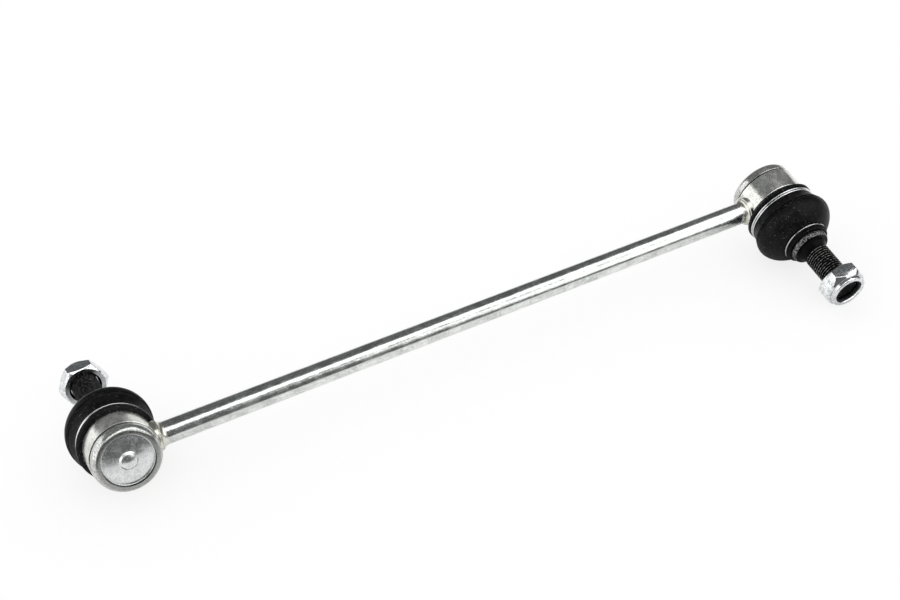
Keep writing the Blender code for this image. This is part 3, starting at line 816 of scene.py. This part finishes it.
spring_steel, tree, shader, where = new_finish("spring_steel", 1.0)
coat = use_group(tree, plating, {
    "Vector": where, "Light": (0.86, 0.87, 0.87, 1), "Dark": (0.70, 0.71, 0.71, 1),
    "Cloud Size": 0.002, "Grain Size": 0.0004, "Low Roughness": 0.12, "High Roughness": 0.25})
connect(tree, shader, {"Base Color": coat["Colour"], "Roughness": coat["Roughness"],
                       "Normal": bumped(tree, coat["Grain"], wire_grain_depth)})


def wound_wire(sink):
    """Two flat turns of round wire joined by a short crossing, the second turn sunk towards the axis."""
    shape = bmesh.new()
    start = clip_height - clip_pitch / 2
    base = Matrix.Translation((0, clip_radius, start)) @ Matrix.Rotation(math.pi / 2, 4, "Y")
    section = bmesh.ops.create_circle(shape, cap_ends=True, radius=clip_wire / 2, segments=16,
                                      matrix=base)["verts"]
    last = [section[0].link_faces[0]]
    for turn, climb, steps in ((330, 0, 132), (60, clip_pitch, 24), (330, 0, 132)):
        last = bmesh.ops.spin(shape, geom=last, axis=(0, 0, 1), cent=(0, 0, 0), angle=math.radians(turn),
                              dvec=(0, 0, climb / steps), steps=steps, use_duplicate=False)["geom_last"]
        last = [g for g in last if isinstance(g, bmesh.types.BMFace)]
    for vertex in shape.verts:
        share = min(max((vertex.co.z - start) / clip_pitch, 0), 1)
        radius = math.hypot(vertex.co.x, vertex.co.y)
        vertex.co.x *= 1 - share * sink / radius
        vertex.co.y *= 1 - share * sink / radius
    bmesh.ops.recalc_face_normals(shape, faces=shape.faces)
    return shape


for side in sides:
    new_piece(f"{side}_wire_clip", wound_wire(clip_sink[side]), socket[side], spring_steel, "link",
              [f"{side}_boot_clip"])

# Neck rings
# One closed turn of duller and thicker wire in the groove behind each boot's three small lips. It clamps the
# rubber to the stud and leans with it.
ring_radius = boot_neck + 0.00015
dull_wire, tree, shader, where = new_finish("dull_wire", 1.0)
coat = use_group(tree, plating, {
    "Vector": where, "Light": (0.56, 0.56, 0.56, 1), "Dark": (0.36, 0.36, 0.36, 1),
    "Cloud Size": 0.002, "Grain Size": 0.0005, "Low Roughness": 0.18, "High Roughness": 0.30})
connect(tree, shader, {"Base Color": coat["Colour"], "Roughness": coat["Roughness"],
                       "Normal": bumped(tree, coat["Grain"], wire_grain_depth)})
ring_outline = arc((ring_radius, ring_height), neck_wire / 2, 0, 360, 16)[:-1]
for side in sides:
    new_piece(f"{side}_neck_wire", spun(ring_outline, 128, True), stud[side], dull_wire, f"{side}_lean",
              [f"{side}_neck_ring"])

# Locknuts
# Thin hex nuts, 19 mm across their flats, zinc plated and nearly white. Both ends of the hex are chamfered,
# and a round collar is rolled in over the nylon insert.
nut_flats = 0.019
nut_face = 0.0534
hex_end = nut_face + 0.0075
nut_top = hex_end + 0.0018
collar = 0.0086
nut_washer = 0.0090
nut_bore = 0.0063
bore_chamfer = 0.0009
insert_pocket = 0.0074
pocket_depth = 0.0024
collar_opening = 0.0065
collar_wall = 0.0006
collar_foot = 0.0002
nut_turn = {"left": math.radians(28), "right": math.radians(15)}
nut_corner = nut_flats / 2 / math.cos(math.pi / 6)
nut_chamfer = 0.00155
collar_chamfer = 0.0024
blank_excess = 0.0003
edge_round = 0.0002
nut_grain_depth = 0.000006


def nut_shape():
    """The nut turned as a blank, then cut to six flats whose edges are softly rounded."""
    blank = nut_corner + blank_excess
    past_corner = (blank - nut_washer) / (nut_corner - nut_washer)
    corners = [
        (collar_opening, nut_top - collar_wall, 0),
        (collar_opening + 0.0002, nut_top, 0.0003),
        (collar - 0.0001, nut_top, 0.0007),
        (collar, hex_end - collar_foot, 0.0001),
        (collar + collar_foot, hex_end - collar_foot, 0.00008),
        (nut_washer - 0.0001, hex_end, 0.00008),
        (blank, hex_end - collar_chamfer * past_corner, 0),
        (blank, nut_face + nut_chamfer * past_corner, 0),
        (nut_washer, nut_face, 0.0001),
        (nut_bore + bore_chamfer, nut_face, 0.0001),
        (nut_bore, nut_face + bore_chamfer, 0.0001),
        (nut_bore, nut_top - pocket_depth, 0),
        (insert_pocket, nut_top - pocket_depth, 0),
        (insert_pocket, nut_top - collar_wall, 0),
    ]
    shape = spun(filleted(corners, 4), 192, True)
    for i in range(6):
        angle = math.pi / 3 * i
        outwards = Vector((math.cos(angle), math.sin(angle), 0))
        everything = shape.verts[:] + shape.edges[:] + shape.faces[:]
        cut = bmesh.ops.bisect_plane(shape, geom=everything, plane_co=outwards * nut_flats / 2,
                                     plane_no=outwards, clear_outer=True, dist=1e-7)["geom_cut"]
        bmesh.ops.contextual_create(shape, geom=[g for g in cut if isinstance(g, bmesh.types.BMEdge)])
    flats = [f for f in shape.faces if len(f.verts) > 12 and abs(f.normal.z) < 0.01]
    ring_edges = list({e for f in flats for e in f.edges})
    bmesh.ops.bevel(shape, geom=ring_edges, offset=edge_round, segments=3, profile=0.5, affect="EDGES",
                    material=-1, clamp_overlap=True)
    bmesh.ops.recalc_face_normals(shape, faces=shape.faces)
    return shape


def nut_zinc(side, place):
    """Bright, nearly white zinc in a nut's own axes."""
    material, tree, shader, where = new_finish(f"{side}_nut_zinc", 1.0, place)
    coat = use_group(tree, plating, {
        "Vector": where, "Light": (0.92, 0.94, 0.95, 1), "Dark": (0.60, 0.62, 0.635, 1),
        "Cloud Size": 0.002, "Grain Size": 0.0008, "Low Roughness": 0.08, "High Roughness": 0.17})
    connect(tree, shader, {"Base Color": coat["Colour"], "Roughness": coat["Roughness"],
                           "Normal": bumped(tree, coat["Grain"], nut_grain_depth)})
    return material


for side in sides:
    place = stud[side] @ Matrix.Rotation(nut_turn[side], 4, "Z")
    new_piece(f"{side}_hex_nut", nut_shape(), place, nut_zinc(side, place), f"{side}_nut",
              [f"{side}_nut"], 30)

# Nut inserts
# A black nylon ring under each nut's rolled collar. The stud's thread presses its way into it, which locks
# the nut.
insert_bore = 0.0062
insert_side = insert_pocket - 0.00005
insert_low = nut_top - 0.0023
insert_high = nut_top - 0.0009
nylon, tree, shader, where = new_finish("black_nylon", 0.0)
rubbed = add_node(tree, "TexNoise", {"Vector": where, "Scale": 900.0, "Detail": 3.0})
soot = mixed(tree, rubbed.outputs["Fac"], (0.010, 0.010, 0.011, 1), (0.028, 0.028, 0.030, 1))
connect(tree, shader, {"Base Color": soot,
                       "Roughness": between(tree, rubbed.outputs["Fac"], 0.3, 0.7, 0.25, 0.42)})
insert_corners = [(insert_bore, insert_low, 0), (insert_bore, insert_high, 0.0003),
                  (insert_side, insert_high, 0.0002), (insert_side, insert_low, 0)]
for side in sides:
    new_piece(f"{side}_nylon_ring", spun(filleted(insert_corners), 128, True), stud[side], nylon,
              f"{side}_nut_travel", [f"{side}_nut_insert"])

# Floor
# A white table, wide enough for every view, with a faint shadow under the link. Reflections show it white up
# to an edge just in front of the link, and dark nearer the camera.
floor_size = 6.0
floor_glow = 0.80
sheet_edge = (-0.15, -0.12)
pale, tree, shader, where = new_finish("pale_floor", 0.0)
shader.inputs["Roughness"].default_value = 0.9
shader.inputs["Specular IOR Level"].default_value = 0.1
shader.inputs["Emission Color"].default_value = (1, 1, 1, 1)
seen = add_node(tree, "LightPath").outputs["Is Camera Ray"]
ahead = add_node(tree, "SeparateXYZ", {"Vector": where}).outputs["Y"]
sheet = mixed(tree, between(tree, ahead, *sheet_edge), (0.07, 0.07, 0.07, 1), (0.97, 0.97, 0.965, 1))
tree.links.new(mixed(tree, seen, sheet, (0.20, 0.20, 0.20, 1)), shader.inputs["Base Color"])
tree.links.new(times(tree, seen, floor_glow), shader.inputs["Emission Strength"])
table = bmesh.new()
bmesh.ops.create_grid(table, x_segments=1, y_segments=1, size=floor_size / 2)
floor_mesh = bpy.data.meshes.new("floor")
table.to_mesh(floor_mesh)
table.free()
floor_mesh.materials.append(pale)
floor = bpy.data.objects.new("floor", floor_mesh)
bpy.context.scene.collection.objects.link(floor)

# Light
# Three soft boxes that only reflections show: one overhead, one ahead to the right and a long one behind to
# the left. The room gives even diffuse light, and is dim in reflections, which leaves the metal dark bands.


def soft_box(name, place, aim, width, height, power):
    """A rectangular area lamp at a place, turned towards another."""
    lamp = bpy.data.lights.new(name, "AREA")
    lamp.shape = "RECTANGLE"
    lamp.size = width
    lamp.size_y = height
    lamp.energy = power
    box = bpy.data.objects.new(name, lamp)
    box.location = place
    box.rotation_euler = (Vector(aim) - Vector(place)).to_track_quat("-Z", "Y").to_euler()
    bpy.context.scene.collection.objects.link(box)
    return box


for name, place, aim, width, height, power in (
        ("top_box", (0.05, -0.41, 0.95), (0.0, -0.30, 0.0), 1.7, 0.54, 5.4),
        ("right_box", (0.87, -0.80, 0.66), (0.0, 0.0, 0.0), 1.30, 0.95, 6.0),
        ("left_box", (-1.05, 0.75, 0.53), (0.6, 0.75, 0.53), 3.0, 1.06, 13.0)):
    soft_box(name, place, aim, width, height, power).visible_diffuse = False
room = bpy.data.worlds.new("room")
room.use_nodes = True
sky = room.node_tree
backdrop = sky.nodes["Background"]
seen = add_node(sky, "LightPath")
walls = mixed(sky, seen.outputs["Is Diffuse Ray"], (0.13, 0.135, 0.135, 1), (1, 1, 1, 1))
sky.links.new(mixed(sky, seen.outputs["Is Camera Ray"], walls, (1, 1, 1, 1)), backdrop.inputs["Color"])
bpy.context.scene.world = room
bpy.context.scene.view_settings.view_transform = "Standard"

# Camera
# The photograph's own viewpoint, at 900 x 600, from the fit of camera and link to the edges measured in it.
# right_of and up_of are the picture's own directions.
camera_data = bpy.data.cameras.new("camera")
camera_data.lens = 65.4
camera_data.sensor_width = 36
camera = bpy.data.objects.new("camera", camera_data)
right_of = Vector((0.8862, -0.4587, -0.0653))
up_of = Vector((0.3339, 0.5345, 0.7764))
view = Matrix((right_of, up_of, right_of.cross(up_of))).transposed().to_4x4()
view.translation = (-0.2366, -0.5033, 0.48)
camera.matrix_world = view
bpy.context.scene.collection.objects.link(camera)
bpy.context.scene.camera = camera
